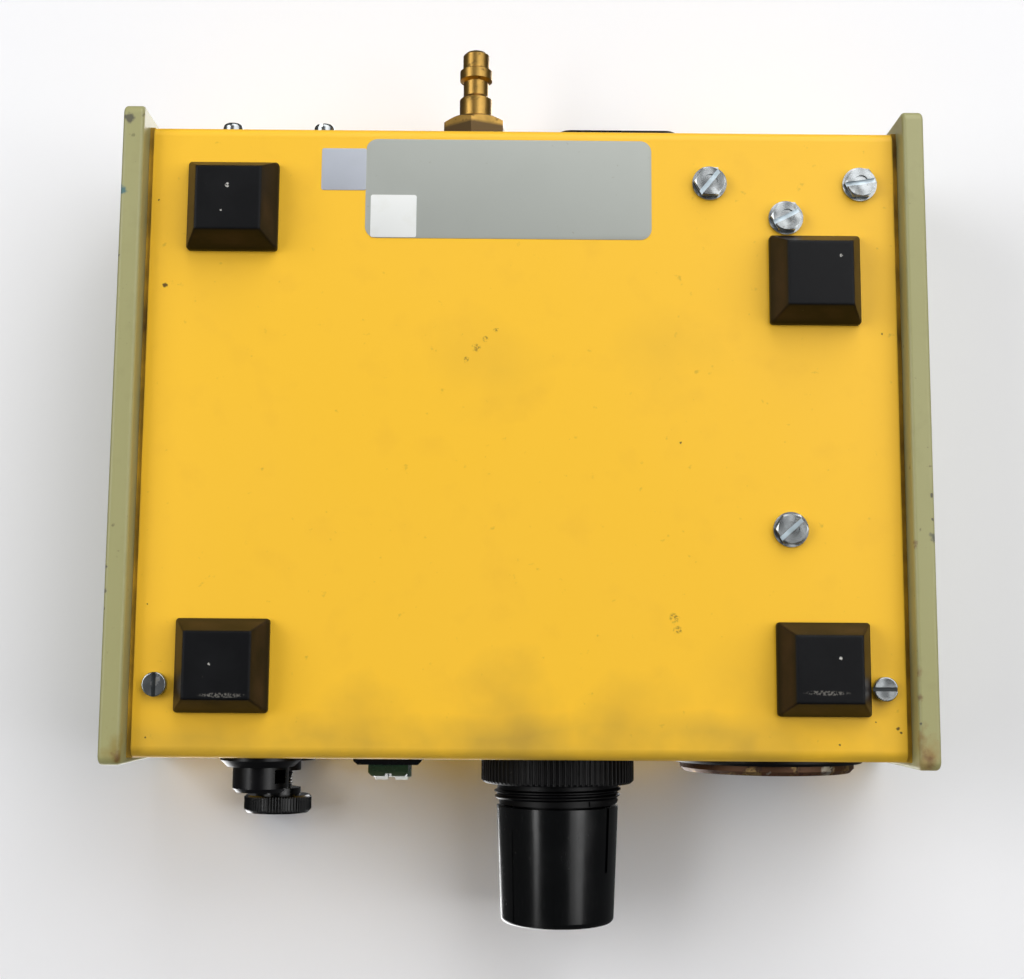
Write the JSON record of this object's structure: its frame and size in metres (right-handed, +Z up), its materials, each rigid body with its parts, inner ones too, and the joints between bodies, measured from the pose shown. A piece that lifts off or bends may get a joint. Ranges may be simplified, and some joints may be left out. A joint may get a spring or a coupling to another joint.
{
  "type": "fluid dispenser",
  "caption": "Benchtop air-powered fluid dispenser in a low sheet-metal case with regulator knob, pressure gauge, rocker switch, vacuum control and rear air and mains inlets.",
  "frame": {"origin": "on the bench, under the middle of the box that holds the whole unit with its knob and air plug", "axes": "+Z up, -Y the way the front panel faces, +X to the right of someone who faces the front panel"},
  "size_m": [0.1822, 0.2074, 0.0599],
  "materials": {
    "yellow_paint": "yellow powder paint, slight orange peel",
    "olive_paint": "olive paint, satin",
    "black_rubber": "matt black rubber",
    "zinc_steel": "zinc-plated steel",
    "bright_steel": "turned steel",
    "spring_steel": "drawn spring wire",
    "black_plastic": "matt black glass-filled plastic",
    "knob_plastic": "satin black plastic",
    "gloss_black": "glossy black plastic",
    "green_lens": "see-through green polycarbonate",
    "worn_plate": "worn nickel plate",
    "clear_glass": "flat clear glass",
    "dial_white": "white dial enamel",
    "pointer_black": "black lacquer",
    "brass": "turned brass",
    "bronze": "sintered bronze",
    "aluminium": "machined aluminium",
    "cast_alloy": "die-cast alloy",
    "nitrile": "nitrile sheet",
    "air_tube": "blue polyurethane tube",
    "core_iron": "varnished iron sheets",
    "coil_tape": "yellow winding tape",
    "tinned_brass": "tinned brass",
    "fuse_glass": "glass tube",
    "board_green": "solder mask",
    "component_black": "moulded components"
  },
  "bodies": {
    "case": {"feet": "black_rubber", "base_pan": "yellow_paint", "top_cover": "yellow_paint", "end_plate_left": "olive_paint", "end_plate_right": "olive_paint", "plate_screws": "zinc_steel", "cover_screws": "zinc_steel", "bracket_screws": "zinc_steel", "bracket_nuts": "zinc_steel", "regulator_ring_nut": "black_plastic", "regulator_bonnet": "black_plastic", "regulator_spring": "spring_steel", "diaphragm_plate": "bright_steel", "regulator_diaphragm": "nitrile", "regulator_body": "cast_alloy", "regulator_poppet_spring": "spring_steel", "regulator_end_cap": "brass", "gauge_flange": "black_plastic", "gauge_bezel": "worn_plate", "gauge_lens": "clear_glass", "gauge_case": "black_plastic", "gauge_dial": "dial_white", "gauge_movement": "brass", "gauge_stem": "brass", "gauge_clamp": "zinc_steel", "switch_housing": "gloss_black", "switch_terminals": "tinned_brass", "outlet_socket": "gloss_black", "vacuum_bush": "gloss_black", "valve_block": "aluminium", "solenoid_body": "bright_steel", "solenoid_coil": "component_black", "solenoid_spring": "spring_steel", "exhaust_silencer": "bronze", "vacuum_ejector": "brass", "air_plug": "brass", "air_plug_nut": "zinc_steel", "air_fittings": "black_plastic", "air_tubes": "air_tube", "mains_inlet": "gloss_black", "inlet_pins": "tinned_brass", "pedal_socket": "gloss_black", "pedal_socket_screws": "zinc_steel", "transformer_core": "core_iron", "transformer_coil": "coil_tape", "transformer_frame": "zinc_steel", "board_bracket": "zinc_steel", "control_board": "board_green", "board_components": "component_black"},
    "pressure_screw": {"regulator_spindle": "bright_steel"},
    "pressure_knob": {"regulator_knob": "knob_plastic"},
    "spring_seat": {"regulator_spring_seat": "bright_steel"},
    "main_poppet": {"regulator_poppet": "brass"},
    "power_rocker": {"switch_rocker": "green_lens"},
    "vacuum_stem": {"vacuum_needle": "bright_steel"},
    "vacuum_grip": {"vacuum_knob": "knob_plastic"},
    "gauge_needle": {"gauge_pointer": "pointer_black"},
    "fuse_tray": {"fuse_drawer": "gloss_black", "fuse": "fuse_glass"},
    "valve_plunger": {"solenoid_plunger": "bright_steel"}
  },
  "joints": [
    {"name": "pressure_turn", "type": "hinge", "parent": "case", "child": "pressure_screw", "pos_m": [-0.00915, -0.06555, 0.033], "axis": [0, 1, 0], "range_deg": [-722, 722]},
    {"name": "spring_seat_slide", "type": "slide", "parent": "case", "child": "spring_seat", "axis": [0, 1, 0], "range_m": [-0.003, 0.003], "deforming": ["regulator_spring"]},
    {"name": "pressure_knob_pull", "type": "slide", "parent": "pressure_screw", "child": "pressure_knob", "axis": [0, -1, 0], "range_m": [0, 0.003]},
    {"name": "power_rocker_tilt", "type": "hinge", "parent": "case", "child": "power_rocker", "pos_m": [0.0301, -0.06355, 0.033], "axis": [-1, 0, 0], "range_deg": [0, 15]},
    {"name": "vacuum_stem_slide", "type": "slide", "parent": "case", "child": "vacuum_stem", "axis": [0, 1, 0], "range_m": [-0.00225, 0.00225]},
    {"name": "vacuum_turn", "type": "hinge", "parent": "vacuum_stem", "child": "vacuum_grip", "pos_m": [0.0584, -0.06555, 0.0463], "axis": [0, 1, 0], "range_deg": [-1083, 1083]},
    {"name": "gauge_needle_turn", "type": "hinge", "parent": "case", "child": "gauge_needle", "pos_m": [-0.0583, -0.06555, 0.033], "axis": [0, 1, 0], "range_deg": [0, 270]},
    {"name": "fuse_tray_slide", "type": "slide", "parent": "case", "child": "fuse_tray", "axis": [0, 1, 0], "range_m": [0, 0.02]},
    {"name": "valve_plunger_slide", "type": "slide", "parent": "case", "child": "valve_plunger", "axis": [0, 1, 0], "range_m": [0, 0.0015], "stiffness_N_per_m": 200, "springref_m": -0.002, "deforming": ["solenoid_spring"]},
    {"name": "main_poppet_slide", "type": "slide", "parent": "case", "child": "main_poppet", "axis": [0, 1, 0], "range_m": [0, 0.001], "stiffness_N_per_m": 300, "springref_m": -0.001, "deforming": ["regulator_poppet_spring"]}
  ],
  "couplings": [
    {"joint": "pressure_turn", "follows": "spring_seat_slide", "rad_per_m": 4188.8},
    {"joint": "vacuum_turn", "follows": "vacuum_stem_slide", "rad_per_m": 8377.6}
  ]
}
